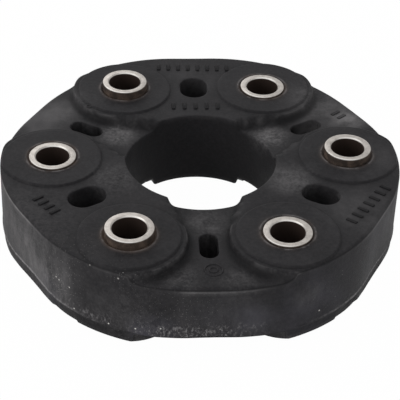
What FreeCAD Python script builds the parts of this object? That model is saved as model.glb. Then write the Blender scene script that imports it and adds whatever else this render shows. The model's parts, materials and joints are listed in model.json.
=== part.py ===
"""Flexible coupling disc for a propeller shaft, in millimetres.

The disc's axis is Z and its origin is the middle of the disc. Six steel sleeves stand on one bolt
circle, numbered anticlockwise from +X when seen from above. Odd sleeves stand proud on the upper
face and even ones on the lower face, so that each face seats one three-armed flange.
Three tall segments carry the drive, and three low ones, recessed on both faces, the overrun.
Inside the rubber, endless loops of cord are wound over pairs of neighbouring sleeves. Two flanged
collars on each sleeve form the spool that the loops lie on.
"""
import FreeCAD, Part
import math
import os

from FreeCAD import Vector

os.makedirs("parts", exist_ok=True)

# Bolt circle and sleeves
sleeve_count = 6
bolt_circle = 110.0
sleeve_bore = 12.3
sleeve_wall = 2.6
sleeve_proud = 3.2
sleeve_flush = 0.6
sleeve_bevel = 0.4

# Rubber moulding
rim_beyond_sleeve = 18.6
flat_length = 14.0
centre_bore = 56.4
tall_height = 29.4
recess_depth = 3.4
rim_bevel = 0.5

# Pads around the sleeves, and the recess walls beyond them
pad_rise = 0.7
pad_inset = 1.5
pad_bevel = 0.3
lip_past_rim = 1.3
lip_leaves_at = 136.3
lip_bevel = 0.6
foot_rounding = 2.4

# Slots through the segments, lying along the disc's radius
tall_slot_width = 10.7
tall_slot_length = 14.3
tall_slot_centre = 48.7
low_slot_width = 6.6
low_slot_length = 13.4
low_slot_centre = 49.2
slot_bevel = 0.4

# Cord loops, and the collars on the sleeves that they are wound over
hub_wall = 1.25
cord_thickness = 5.5
overrun_cord_height = 7.2
cord_gap = 0.4
flange_reach = 1.0
flange_thickness = 1.2
rubber_cover = 2.3

# How far a cutting solid runs on past the rubber
run_past = 10.0

# Values that follow from the sizes above
step_angle = 360.0 / sleeve_count
bolt_radius = bolt_circle / 2
sleeve_radius = sleeve_bore / 2 + sleeve_wall
corner_reach = bolt_radius + rim_beyond_sleeve
arc_offset = flat_length / 2 / math.sin(math.radians(step_angle / 2))
arc_radius = corner_reach - arc_offset
tall_level = tall_height / 2
low_level = tall_level - recess_depth
pad_level = tall_level + pad_rise
lip_radius = rim_beyond_sleeve + lip_past_rim
pad_radius = lip_radius - pad_inset
hub_radius = sleeve_radius + hub_wall
cord_radius = hub_radius + cord_thickness
flange_radius = cord_radius + flange_reach
flange_top = tall_level - rubber_cover
flange_level = flange_top - flange_thickness
drive_cord_level = overrun_cord_height / 2 + cord_gap

origin = Vector(0, 0, 0)
up = Vector(0, 0, 1)


def polar(radius, degrees):
    """Point at a radius and an angle about the disc's axis, at mid height."""
    angle = math.radians(degrees)
    return Vector(radius * math.cos(angle), radius * math.sin(angle), 0)


def segment_angles(first):
    """Angles of the middles of every second segment, counted from sleeve 1."""
    return [(number + 0.5) * step_angle for number in range(first, sleeve_count, 2)]


low_segments = segment_angles(0)
tall_segments = segment_angles(1)
sleeve_axes = [polar(bolt_radius, number * step_angle) for number in range(sleeve_count)]


def turned(shape, degrees):
    """Copy of a shape, turned about the disc's axis."""
    copy = shape.copy()
    copy.rotate(origin, up, degrees)
    return copy


def mirrored(point):
    """A plan point reflected in the X axis."""
    return Vector(point.x, -point.y, 0)


def line(start, end):
    """Straight edge between two points."""
    return Part.LineSegment(start, end).toShape()


def arc(start, middle, end):
    """Round edge through three points."""
    return Part.Arc(start, middle, end).toShape()


def prism(edges, low, high):
    """Solid between two heights, with a closed outline that is drawn at mid height."""
    face = Part.Face(Part.Wire(edges))
    face.translate(up * low)
    return face.extrude(up * (high - low))


def cylinder(radius, low, high, axis=origin):
    """Upright cylinder between two heights, round a point at mid height."""
    return Part.makeCylinder(radius, high - low, axis + up * low)


def ring(outer, inner, low, high):
    """Plain tube about the disc's axis, between two heights."""
    return cylinder(outer, low, high).cut(cylinder(inner, low, high))


def stadium(length, width):
    """Round-ended outline along X, with its middle at the origin."""
    half = width / 2
    reach = length / 2 - half
    return [line(Vector(reach, half, 0), Vector(-reach, half, 0)),
            arc(Vector(-reach, half, 0), Vector(-reach - half, 0, 0), Vector(-reach, -half, 0)),
            line(Vector(-reach, -half, 0), Vector(reach, -half, 0)),
            arc(Vector(reach, -half, 0), Vector(reach + half, 0, 0), Vector(reach, half, 0))]


def middle_of(edge):
    """Point half way along an edge."""
    return edge.valueAt((edge.FirstParameter + edge.LastParameter) / 2)


def level_edges(shape, *heights):
    """Edges of a shape that lie level at any of some heights."""
    found = []
    for edge in shape.Edges:
        box = edge.BoundBox
        if any(abs(box.ZMin - height) < 1e-4 and abs(box.ZMax - height) < 1e-4 for height in heights):
            found.append(edge)
    return found


def disc_outline():
    """Rounded hexagon: a wide arc at each sleeve and a short flat across each segment."""
    edges = []
    for number in range(sleeve_count):
        angle = number * step_angle
        centre = polar(arc_offset, angle)
        next_centre = polar(arc_offset, angle + step_angle)
        to_flat = polar(arc_radius, angle + step_angle / 2)
        start = centre + polar(arc_radius, angle - step_angle / 2)
        edges.append(arc(start, polar(corner_reach, angle), centre + to_flat))
        edges.append(line(centre + to_flat, next_centre + to_flat))
    return edges


def recess_outline():
    """Plan of the recess in the low segment whose middle lies on +X.

    Each side follows the lip about its sleeve, then leaves along the tangent to the centre bore.
    The ends run past the disc's edge and into the bore, so that they stay clear of the rubber.
    """
    half = step_angle / 2
    sleeve = polar(bolt_radius, half)
    leave_angle = half - lip_leaves_at
    outer_angle = half / 2
    outer = sleeve + polar(lip_radius, outer_angle)
    closest = sleeve + polar(lip_radius, (outer_angle + leave_angle) / 2)
    leave = sleeve + polar(lip_radius, leave_angle)
    inward = polar(1, leave_angle - 90)
    in_bore = leave - inward * leave.dot(inward)
    past_edge = outer + polar(run_past, outer_angle + 90)
    beyond = Vector(corner_reach + run_past, past_edge.y, 0)

    def side(place):
        return [line(place(beyond), place(past_edge)),
                line(place(past_edge), place(outer)),
                arc(place(outer), place(closest), place(leave)),
                line(place(leave), place(in_bore))]

    near_end = line(in_bore, mirrored(in_bore))
    far_end = line(mirrored(beyond), beyond)
    return side(lambda point: point) + [near_end] + side(mirrored)[::-1] + [far_end]


def upper_face_cutter():
    """What lies above the disc's upper face: all above the tall level, and the three recesses.

    The lip and the foot of the recess walls are rounded here, where their ends lie clear of the disc.
    """
    cutter = cylinder(corner_reach + run_past * 3, tall_level, tall_height)
    recess = prism(recess_outline(), low_level, tall_level + run_past / 2)
    for angle in low_segments:
        cutter = cutter.fuse(turned(recess, angle))
    cutter = cutter.removeSplitter()

    def on_wall(edge):
        point = middle_of(edge)
        across = [math.hypot(point.x - axis.x, point.y - axis.y) for axis in sleeve_axes]
        return min(across) < lip_radius * 1.5

    feet = [edge for edge in level_edges(cutter, low_level) if on_wall(edge)]
    cutter = cutter.makeFillet(foot_rounding, feet)
    lips = [edge for edge in level_edges(cutter, tall_level) if on_wall(edge)]
    return cutter.makeChamfer(lip_bevel, lips)


def rim_edges(blank):
    """Edges round the outside of both faces, up and down the recess walls as well."""
    wall = prism(disc_outline(), -tall_height, tall_height).Shells[0]
    found = []
    for edge in blank.Edges:
        span = edge.LastParameter - edge.FirstParameter
        points = [edge.valueAt(edge.FirstParameter + share * span) for share in (0.05, 0.5, 0.95)]
        on_wall = all(wall.distToShape(Part.Vertex(point))[0] < 1e-3 for point in points)
        if on_wall and min(abs(point.z) for point in points) > low_level / 2:
            found.append(edge)
    return found


def disc_blank():
    """Rubber disc with its recesses and its rim rounded, and the centre bore through it."""
    blank = prism(disc_outline(), -tall_level - run_past / 2, tall_level + run_past / 2)
    upper = upper_face_cutter()
    blank = blank.cut(upper).cut(upper.mirror(origin, up))
    blank = blank.cut(cylinder(centre_bore / 2, -tall_height, tall_height))
    return blank.makeChamfer(rim_bevel, rim_edges(blank))


def pads():
    """Six round pads, raised a little above both faces and kept within the disc's outline."""
    bound = prism(disc_outline(), -pad_level, pad_level)
    bound = bound.makeChamfer(rim_bevel, level_edges(bound, pad_level, -pad_level))
    pad = cylinder(pad_radius, -pad_level, pad_level, polar(bolt_radius, 0))
    pad = pad.makeChamfer(pad_bevel, level_edges(pad, pad_level, -pad_level))
    pad = pad.common(bound)
    return [turned(pad, number * step_angle) for number in range(sleeve_count)]


def slot(length, width, centre, level):
    """Cutter for a round-ended slot along the radius on +X, bevelled where it meets both faces."""
    wider = slot_bevel * 4
    mouth = prism(stadium(length + wider, width + wider), level, tall_height)
    cutter = prism(stadium(length, width), -level, level).fuse([mouth, mouth.mirror(origin, up)])

    def at_mouth(edge):
        point = middle_of(edge)
        return abs(point.x) < length / 2 + slot_bevel and abs(point.y) < width / 2 + slot_bevel

    rims = [edge for edge in level_edges(cutter, level, -level) if at_mouth(edge)]
    cutter = cutter.makeChamfer(slot_bevel, rims)
    cutter.translate(Vector(centre, 0, 0))
    return cutter


def slots():
    """Cutters for every slot through the disc."""
    tall = slot(tall_slot_length, tall_slot_width, tall_slot_centre, tall_level)
    low = slot(low_slot_length, low_slot_width, low_slot_centre, low_level)
    return [turned(tall, angle) for angle in tall_segments] + [turned(low, angle) for angle in low_segments]


def sleeve(number):
    """Steel sleeve with bevelled ends, standing proud on the face that its flange bolts to."""
    above, below = (sleeve_proud, sleeve_flush) if number % 2 else (sleeve_flush, sleeve_proud)
    low = -pad_level - below
    high = pad_level + above
    tube = ring(sleeve_radius, sleeve_bore / 2, low, high)
    tube = tube.makeChamfer(sleeve_bevel, level_edges(tube, low, high))
    tube.translate(sleeve_axes[number - 1])
    return tube


def collars(number):
    """The two collars of one sleeve, by name: hubs that meet at mid height, with flanges at their ends."""
    upper = ring(hub_radius, sleeve_radius, 0, flange_top)
    upper = upper.fuse(ring(flange_radius, sleeve_radius, flange_level, flange_top)).removeSplitter()
    upper.translate(sleeve_axes[number - 1])
    return {f"upper_collar_{number}": upper, f"lower_collar_{number}": upper.mirror(origin, up)}


def cord_loop(angle, low, high):
    """Endless band of cord round the hubs at both ends of a segment, between two heights."""
    out = bolt_radius * math.cos(math.radians(step_angle / 2))
    apart = 2 * bolt_radius * math.sin(math.radians(step_angle / 2))
    band = prism(stadium(apart + 2 * cord_radius, 2 * cord_radius), low, high)
    band = band.cut(prism(stadium(apart + 2 * hub_radius, 2 * hub_radius), low, high))
    band.rotate(origin, up, 90)
    band.translate(Vector(out, 0, 0))
    return turned(band, angle)


def cord_loops():
    """Every cord loop, by name: two in each tall segment and one in each low segment."""
    named = {}
    for count, angle in enumerate(tall_segments, 1):
        named[f"upper_drive_cord_{count}"] = cord_loop(angle, drive_cord_level, flange_level)
        named[f"lower_drive_cord_{count}"] = cord_loop(angle, -flange_level, -drive_cord_level)
    for count, angle in enumerate(low_segments, 1):
        named[f"overrun_cord_{count}"] = cord_loop(angle, -overrun_cord_height / 2, overrun_cord_height / 2)
    return named


def rubber_disc(buried):
    """The rubber moulding, with a close-fitting space for the sleeves and for each buried piece."""
    solid = disc_blank().fuse(pads()).cut(slots())
    holes = [cylinder(sleeve_radius, -tall_height, tall_height, axis) for axis in sleeve_axes]
    return solid.cut(holes + buried)


def disc_pieces():
    """Every solid of the disc, by name."""
    buried = cord_loops()
    for number in range(1, sleeve_count + 1):
        buried.update(collars(number))
    pieces = {f"bolt_sleeve_{number}": sleeve(number) for number in range(1, sleeve_count + 1)}
    pieces["rubber_disc"] = rubber_disc(list(buried.values()))
    return {**pieces, **buried}


for name, piece in disc_pieces().items():
    piece.Solids[0].exportStep(f"parts/{name}.step")
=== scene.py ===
import json
import math
import random

import bpy
from mathutils import Matrix, Vector
from mathutils.geometry import delaunay_2d_cdt


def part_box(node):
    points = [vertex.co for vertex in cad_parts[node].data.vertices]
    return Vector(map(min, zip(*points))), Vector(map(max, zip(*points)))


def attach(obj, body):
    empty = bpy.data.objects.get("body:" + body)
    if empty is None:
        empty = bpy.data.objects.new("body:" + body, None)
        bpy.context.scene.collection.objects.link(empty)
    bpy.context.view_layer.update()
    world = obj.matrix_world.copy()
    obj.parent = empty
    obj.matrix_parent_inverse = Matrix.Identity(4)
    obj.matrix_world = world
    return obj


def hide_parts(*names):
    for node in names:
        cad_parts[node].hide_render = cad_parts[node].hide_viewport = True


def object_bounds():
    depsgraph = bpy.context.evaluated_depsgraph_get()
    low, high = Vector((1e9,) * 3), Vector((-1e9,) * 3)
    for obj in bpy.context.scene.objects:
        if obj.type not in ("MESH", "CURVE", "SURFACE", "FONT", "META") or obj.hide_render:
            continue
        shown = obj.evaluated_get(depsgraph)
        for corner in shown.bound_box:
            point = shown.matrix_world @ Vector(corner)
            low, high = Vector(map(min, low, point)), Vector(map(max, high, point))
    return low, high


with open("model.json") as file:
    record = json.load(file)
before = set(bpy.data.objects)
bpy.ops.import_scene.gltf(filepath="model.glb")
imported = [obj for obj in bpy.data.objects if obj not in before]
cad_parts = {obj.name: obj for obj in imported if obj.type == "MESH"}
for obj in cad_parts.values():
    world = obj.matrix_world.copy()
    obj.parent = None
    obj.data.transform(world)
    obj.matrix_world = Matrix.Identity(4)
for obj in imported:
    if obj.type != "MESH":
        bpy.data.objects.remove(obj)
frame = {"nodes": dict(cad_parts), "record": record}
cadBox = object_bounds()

mm = 0.001                                   # lengths below are in millimetres unless a note says otherwise
mounts = {mount["name"]: mount for mount in frame["record"]["mounts"]}
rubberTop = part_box("rubber_disc")[1] / mm
sleeveLow, sleeveHigh = (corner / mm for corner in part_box("bolt_sleeve_1"))
floorLevel = cadBox[0].z / mm


# small helpers for node trees and meshes
def setInputs(tree, node, inputs):           # a node given as a value stands for its first output
    for key, value in inputs.items():
        if isinstance(value, bpy.types.Node):
            value = value.outputs[0]
        if isinstance(value, bpy.types.NodeSocket):
            tree.links.new(value, node.inputs[key])
        else:
            node.inputs[key].default_value = value


def addNode(tree, kind, inputs=None, **settings):
    node = tree.nodes.new(kind)
    for key, value in settings.items():
        setattr(node, key, value)
    setInputs(tree, node, inputs or {})
    return node


def newGroup(name, kind, inputs, outputs):   # a socket is given by its kind, or by the number it starts with
    tree = bpy.data.node_groups.new(name, kind)
    for side, sockets in (("INPUT", inputs), ("OUTPUT", outputs)):
        for label, value in sockets.items():
            socketKind = value if isinstance(value, str) else type(value).__name__.title()
            socket = tree.interface.new_socket(name=label, in_out=side, socket_type="NodeSocket" + socketKind)
            if socketKind != value:
                socket.default_value = value
    return tree, tree.nodes.new("NodeGroupInput").outputs, tree.nodes.new("NodeGroupOutput").inputs


def maths(tree, operation, *values):
    return addNode(tree, "ShaderNodeMath", dict(enumerate(values)), operation=operation).outputs[0]


def plus(tree, first, second):
    return maths(tree, "ADD", first, second)


def times(tree, first, second):
    return maths(tree, "MULTIPLY", first, second)


def timesPlus(tree, value, factor, added):
    return maths(tree, "MULTIPLY_ADD", value, factor, added)


def lessBy(tree, mask, share):               # one, less this share where the mask is full
    return timesPlus(tree, mask, -share, 1.0)


def atMostOne(tree, value):
    return maths(tree, "MINIMUM", value, 1.0)


def vectorMaths(tree, operation, first, second=None):
    inputs = {0: first}
    if second is not None:
        inputs["Scale" if operation == "SCALE" else 1] = second
    outputs = addNode(tree, "ShaderNodeVectorMath", inputs, operation=operation).outputs
    return outputs["Value" if operation in ("DISTANCE", "DOT_PRODUCT", "LENGTH") else "Vector"]


def partsOf(tree, vector):
    return addNode(tree, "ShaderNodeSeparateXYZ", {0: vector}).outputs


def ramp(tree, value, low, high, toLow=0.0, toHigh=1.0):
    inputs = {"Value": value, "From Min": low, "From Max": high, "To Min": toLow, "To Max": toHigh}
    return addNode(tree, "ShaderNodeMapRange", inputs, interpolation_type="SMOOTHSTEP").outputs[0]


def noise(tree, place, scale, detail, roughness=0.5):
    inputs = {"Vector": place, "Scale": scale, "Detail": detail, "Roughness": roughness}
    return addNode(tree, "ShaderNodeTexNoise", inputs).outputs[0]


def endTree(tree, geometry, material, out):  # real, smooth faces of one material
    whole = addNode(tree, "GeometryNodeRealizeInstances", {0: geometry})
    smooth = addNode(tree, "GeometryNodeSetShadeSmooth", {"Geometry": whole})
    coated = addNode(tree, "GeometryNodeSetMaterial", {"Geometry": smooth, "Material": material})
    tree.links.new(coated.outputs[0], out["Geometry"])
    return tree


def nodesPiece(name, mesh, tree, values):    # runs a tree on a mesh and keeps the plain result
    piece = bpy.data.objects.new(name, mesh)
    bpy.context.scene.collection.objects.link(piece)
    modifier = piece.modifiers.new(tree.name, "NODES")
    modifier.node_group = tree
    for item in tree.interface.items_tree:
        if item.in_out == "INPUT" and item.name in values:
            modifier[item.identifier] = values[item.name]
    graph = bpy.context.evaluated_depsgraph_get()
    made = piece.evaluated_get(graph)
    result = bpy.data.meshes.new_from_object(made, preserve_all_data_layers=True, depsgraph=graph)
    piece.modifiers.clear()
    piece.data = result
    result.name = name
    return piece


def polar(radius, degrees):
    angle = math.radians(degrees)
    return Vector((radius * math.cos(angle), radius * math.sin(angle)))


# camera at the photograph's angle
camera = {
    "lens": 128.15,
    "sensor": 36.0,
    "elevation": 36.358,                     # degrees
    "turn": 4.633,
    "roll": -2.096,
    "aside": Vector((0.33, 18.21)),          # where the disc's middle lies from the line of sight
    "distance": 529.76,
    "aimLevel": 17.3,
}


def setCamera():
    turn = (Matrix.Rotation(math.radians(camera["roll"]), 3, "Z")
            @ Matrix.Rotation(math.radians(camera["elevation"] - 90), 3, "X")
            @ Matrix.Rotation(math.radians(camera["turn"]), 3, "Z"))
    place = turn.transposed() @ Vector((-camera["aside"].x, -camera["aside"].y, camera["distance"]))
    place.z += camera["aimLevel"]
    data = bpy.data.cameras.new("photo_camera")
    data.lens, data.sensor_width = camera["lens"], camera["sensor"]
    data.clip_start, data.clip_end = 0.02, 5
    piece = bpy.data.objects.new("photo_camera", data)
    piece.matrix_world = Matrix.Translation(place * mm) @ turn.transposed().to_4x4()
    bpy.context.scene.collection.objects.link(piece)
    bpy.context.scene.camera = piece


# plain studio: white floor, an even sky, a soft key light on the left and one behind
studio = {
    "floorSize": 3000.0,
    "whiteShare": 0.985,                     # how much of the floor the camera sees as plain white
    "skyStrength": 0.84,
    "lamps": [                               # name, place, size, watts, colour
        ("left_key", (-640, -260, 260), 400, 1.9, (1.0, 0.985, 0.97)),
        ("back_light", (-200, 640, 420), 400, 0.8, (1.0, 0.99, 0.98)),
    ],
}


def isSeenPlainly(tree):                     # one for rays from the camera, in mirrors and through glass
    path = addNode(tree, "ShaderNodeLightPath").outputs
    seen = plus(tree, path["Is Camera Ray"], path["Is Glossy Ray"])
    return atMostOne(tree, plus(tree, seen, path["Is Transmission Ray"]))


def setSky():
    world = bpy.data.worlds.new("studio")
    bpy.context.scene.world = world
    world.use_nodes = True
    tree = world.node_tree
    tree.nodes.clear()
    sky = addNode(tree, "ShaderNodeBackground", {"Color": (1, 1, 1, 1), "Strength": studio["skyStrength"]})
    white = addNode(tree, "ShaderNodeBackground", {"Color": (1, 1, 1, 1), "Strength": 1.0})
    mix = addNode(tree, "ShaderNodeMixShader", {0: isSeenPlainly(tree), 1: sky, 2: white})
    addNode(tree, "ShaderNodeOutputWorld", {"Surface": mix})


def makeFloor():                             # it can't be seen from below
    half = studio["floorSize"] / 2
    mesh = bpy.data.meshes.new("floor")
    corners = [(-half, -half), (half, -half), (half, half), (-half, half)]
    mesh.from_pydata([(x * mm, y * mm, floorLevel * mm) for x, y in corners], [], [(0, 1, 2, 3)])
    floor = bpy.data.objects.new("floor", mesh)
    bpy.context.scene.collection.objects.link(floor)
    material = bpy.data.materials.new("floor_white")
    material.use_nodes = True
    tree = material.node_tree
    tree.nodes.clear()
    paper = addNode(tree, "ShaderNodeBsdfDiffuse", {"Color": (0.8, 0.8, 0.8, 1)})
    glow = addNode(tree, "ShaderNodeEmission", {"Color": (1, 1, 1, 1), "Strength": 1.0})
    share = times(tree, isSeenPlainly(tree), studio["whiteShare"])
    mix = addNode(tree, "ShaderNodeMixShader", {0: share, 1: paper, 2: glow})
    clear = addNode(tree, "ShaderNodeBsdfTransparent")
    isUnder = addNode(tree, "ShaderNodeNewGeometry").outputs["Backfacing"]
    mix = addNode(tree, "ShaderNodeMixShader", {0: isUnder, 1: mix, 2: clear})
    addNode(tree, "ShaderNodeOutputMaterial", {"Surface": mix})
    mesh.materials.append(material)


def setLamps():
    for name, place, size, watts, colour in studio["lamps"]:
        data = bpy.data.lights.new(name, "AREA")
        data.size, data.energy, data.color = size * mm, watts, colour
        lamp = bpy.data.objects.new(name, data)
        lamp.location = Vector(place) * mm
        lamp.rotation_euler = (-Vector(place)).to_track_quat("-Z", "Y").to_euler()
        bpy.context.scene.collection.objects.link(lamp)


setCamera()
setSky()
makeFloor()
setLamps()
bpy.context.scene.view_settings.view_transform = "Standard"
print("camera and studio ready")


# effects that several materials share
def makeGrainGroup():                        # fine grain and slow waves, as a height
    inputs = {"Place": "Vector", "Grain Scale": 3.0, "Wave Scale": 0.25, "Wave Share": 0.5}
    tree, given, out = newGroup("surface grain", "ShaderNodeTree", inputs, {"Height": "Float"})
    fine = noise(tree, given["Place"], given["Grain Scale"], 4.0, 0.6)
    wave = noise(tree, given["Place"], given["Wave Scale"], 2.0)
    mix = addNode(tree, "ShaderNodeMix", {0: given["Wave Share"], 2: fine, 3: wave})
    tree.links.new(mix.outputs[0], out["Height"])
    return tree


def makeVeilGroup():                         # a thin broken film, such as dust or bloom, as a mask
    inputs = {"Place": "Vector", "Scale": 0.2, "Bare Below": 0.45, "Full Above": 0.75}
    tree, given, out = newGroup("thin veil", "ShaderNodeTree", inputs, {"Mask": "Float"})
    cloud = noise(tree, given["Place"], given["Scale"], 7.0, 0.68)
    tree.links.new(ramp(tree, cloud, given["Bare Below"], given["Full Above"]), out["Mask"])
    return tree


def makeSpeckGroup():                        # scattered small dots, as a mask
    inputs = {"Place": "Vector", "Scale": 0.8, "Size": 0.2, "Share": 0.2}
    tree, given, out = newGroup("small specks", "ShaderNodeTree", inputs, {"Mask": "Float"})
    cells = addNode(tree, "ShaderNodeTexVoronoi", {"Vector": given["Place"], "Scale": given["Scale"]})
    near = maths(tree, "LESS_THAN", cells.outputs["Distance"], given["Size"])
    draw = addNode(tree, "ShaderNodeSeparateColor", {0: cells.outputs["Color"]}).outputs[0]
    chosen = maths(tree, "LESS_THAN", draw, given["Share"])
    tree.links.new(times(tree, near, chosen), out["Mask"])
    return tree


def makeSpotGroup():                         # a soft spot about a point, as a mask
    inputs = {"Place": "Vector", "Centre": "Vector", "Reach": 15.0}
    tree, given, out = newGroup("soft spot", "ShaderNodeTree", inputs, {"Mask": "Float"})
    away = vectorMaths(tree, "DISTANCE", given["Place"], given["Centre"])
    tree.links.new(ramp(tree, maths(tree, "DIVIDE", away, given["Reach"]), 1.0, 0.15), out["Mask"])
    return tree


grainGroup = makeGrainGroup()
veilGroup = makeVeilGroup()
speckGroup = makeSpeckGroup()
spotGroup = makeSpotGroup()


def effect(tree, group, *values):            # places a shared effect, its values in the group's own order
    return addNode(tree, "ShaderNodeGroup", dict(enumerate(values)), node_tree=group).outputs[0]


def veil(tree, place, settings):             # a veil that may be drawn out upright
    *values, upright = settings
    return effect(tree, veilGroup, vectorMaths(tree, "MULTIPLY", place, (1, 1, upright)), *values)


def sumOfSpots(tree, place, spots):
    total = 0.0
    for centre, reach, share in spots:
        total = timesPlus(tree, effect(tree, spotGroup, place, centre, float(reach)), share, total)
    return total


def blend(tree, share, first, second):       # mixes two colours by a mask
    return addNode(tree, "ShaderNodeMix", {0: share, 6: first, 7: second}, data_type="RGBA").outputs[2]


def attribute(tree, name, output="Fac"):
    return addNode(tree, "ShaderNodeAttribute", attribute_name=name).outputs[output]


def newMaterial(name):                       # also gives each point's place, in millimetres
    material = bpy.data.materials.new(name)
    material.use_nodes = True
    tree = material.node_tree
    tree.nodes.clear()
    surface = addNode(tree, "ShaderNodeBsdfPrincipled")
    addNode(tree, "ShaderNodeOutputMaterial", {"Surface": surface})
    place = vectorMaths(tree, "SCALE", addNode(tree, "ShaderNodeTexCoord").outputs["Object"], 1 / mm)
    return material, tree, surface, place


def addBump(tree, surface, height, depth, strength):
    bump = addNode(tree, "ShaderNodeBump", {"Height": height, "Distance": depth * mm, "Strength": strength})
    setInputs(tree, surface, {"Normal": bump})


# rubber: near black and dull, with dust and painted shade in the hollows, painted highlights on edges, lips
# and beads, streaks on the walls and pale grains
rubber = {
    "dark": (0.0126, 0.0122, 0.0135, 1),
    "light": (0.0225, 0.0215, 0.0232, 1),
    "shade": (0.0052, 0.0050, 0.0056, 1),    # painted shade, in the hollows and under the parting line
    "rusty": (0.090, 0.064, 0.050, 1),       # rust carried from the steel onto the rubber beside it
    "dust": (0.168, 0.163, 0.166, 1),
    # bloom and painted cool light on the walls
    "bloom": (0.150, 0.148, 0.185, 1),
    "grain": (0.6, 0.585, 0.56, 1),
    "shine": 0.07,                           # specular level
    "roughness": 0.52,
    "shadeShare": 0.7,
    "film": 0.055,                           # share of dust everywhere
    "edgeFilm": 0.05,                        # share of dust and painted highlight along every edge
    "ringFilm": 0.75,                        # share of dust and painted highlight on the beads and lips
    "hollowLoss": 0.75,                      # how much of the dust the painted shade in the hollows takes away
    "underLoss": 0.85,                       # how much of it the painted shade under the parting line takes away
    "lineAbove": 0.4,                        # how far the dusty line lies above the parting line
    "splashLevels": (-3.0, -8.5),            # between these the splashes grow to their full share
    "veils": {                               # scale, bare below, full above, drawn out upright
        "cloud": (0.06, 0.32, 0.68, 1.0),
        "mottle": (0.24, 0.34, 0.7, 1.0),
        "fine": (0.8, 0.36, 0.72, 1.0),
        "broken": (0.18, 0.4, 0.6, 1.0),
        "rust": (0.1, 0.38, 0.62, 1.0),
        "streak": (0.12, 0.28, 0.76, 0.35),
        "splash": (1.0, 0.48, 0.68, 0.55),
    },
    "specks": [                              # scale, size, share of them shown, strength
        (0.5, 0.11, 0.05, 0.5),
        (1.7, 0.27, 0.24, 0.14),
    ],
    "grains": [                              # single pale grains: place, radius
        ((-31.5, -66.9, 12.0), 0.6),
        ((-40.9, -61.6, 13.6), 0.5),
        ((-51.9, -52.3, -0.4), 0.45),
        ((-52.9, -51.1, 0.0), 0.45),
        ((-48.3, -56.0, -0.8), 0.45),
        ((-46.9, -57.5, -9.2), 0.4),
        ((-35.0, -65.7, -9.2), 0.45),
        ((-25.9, -69.6, -8.4), 0.45),
        ((-17.3, -71.5, -6.8), 0.45),
        ((3.0, -71.7, -7.2), 0.4),
        ((38.1, -63.9, -6.4), 0.45),
    ],
}
rubberSpots = {                              # where each finish shows: centre, reach, share
    "haze": [                                # smooth haze on the faces
        ((54, 36, 11), 24, 0.22),
        ((60, 29, 11), 9, 0.22),
        # painted light and some dust inside the slot beside this spot
        ((44, 31, -2), 14, 0.80),
        ((32, -15, 15), 13, 0.12),
        ((60, -2, 15), 18, 0.12),
        ((56, -36, 15), 20, 0.12),
        ((0, 55, 15), 20, 0.05),
        ((-30, 20, 11), 12, 0.10),
        ((-62, 28, 11), 16, 0.18),
        ((-54, 39, 11), 14, 0.22),
        ((29, 19, 11), 12, 0.08),
        ((0, -37, 11), 13, 0.06),
        ((48, -23, 6), 7, 0.08),
    ],
    "bloom": [                               # bluish haze on the walls: bloom and painted cool light
        ((-55, -47, -8), 9, 0.12),
        ((-20, -70, -9), 12, 0.15),
        ((4, -74, -3), 18, 0.04),
        ((14, -72, -3), 11, 0.08),
        ((36, -66, -2), 24, 0.08),
        ((62, -36, 9), 16, 0.05),
    ],
    "rust": [
        ((-27.5, -49, 14), 15, 1.0),
        ((-27.5, 46, 14), 14, 0.6),
        ((55, -2, 14), 14, 0.35),
        ((-55, 1, 14), 13, 0.3),
    ],
    "dust": [                                # flecks
        ((-31, 20, 11), 10, 0.65),
        ((-46, 36, 11), 14, 0.12),
        ((28, 18, 11), 10, 0.60),
        # a painted glint at the end of the slot's wall
        ((49.8, -23.2, 13), 2.0, 0.8),
        ((48, 42, 11), 14, 0.20),
        ((60, 30, 11), 10, 0.25),
        ((32, -15, 15), 13, 0.30),
        ((-32, -13, 15), 13, 0.24),
        ((0, -37, 11), 11, 0.26),
        ((-10, -66, 11), 9, 0.22),
        ((9, -68, 11), 9, 0.20),
        ((-66, -36, -3), 34, 0.22),
        ((-30, -70, -4), 20, 0.10),
        ((66, -38, -4), 26, 0.12),
    ],
    "streak": [
        ((-73, -16, 2), 27, 0.36),
        ((-60, -46, -3), 28, 0.64),
        ((66, -32, 7), 14, 0.22),
        ((-36, -66, -5), 16, 0.06),
        ((72, -22, 2), 18, 0.20),
        ((33, -66, 3), 8, 0.28),
        ((2, -74, -2), 24, 0.16),
    ],
    "edge": [                                # where the edges are pale with dust and a painted highlight
        ((-2, -72, 10), 13, 0.70),
        ((12, -72, 10), 9, 0.45),
        ((-34, -66, 14), 16, 0.12),
        ((-72, 0, 14), 16, 0.45),
        ((-68, -26, 14), 26, 0.95),
        ((66, -34, 14), 28, 0.75),
    ],
    "line": [                                # where dust lies on the wall just above the parting line
        ((-66, -32, -10), 44, 1.5),
        ((60, -44, -10), 38, 1.5),
    ],
    "splash": [                              # where splashes speckle the lower wall
        ((-16, -71, -9), 20, 1.6),
        ((6, -72, -9), 20, 1.4),
        ((-44, -60, -9), 22, 0.65),
        ((54, -54, -9), 16, 0.35),
    ],
    "grain": [
        ((-52, -53, 0), 15, 1.6),
        ((-46, -55, 13), 13, 0.7),
        ((-30, -66, 13), 9, 0.7),
        ((-12, -72, -8), 30, 0.8),
        ((40, -62, 0), 18, 0.3),
    ],
}


def dustOnFaces(tree, haze, veils, spots):
    soft = timesPlus(tree, veils["fine"], 0.6, times(tree, veils["mottle"], 0.6))
    flecks = timesPlus(tree, veils["fine"], rubber["film"], times(tree, spots["dust"], soft))
    return timesPlus(tree, spots["haze"], haze, flecks)


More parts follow.
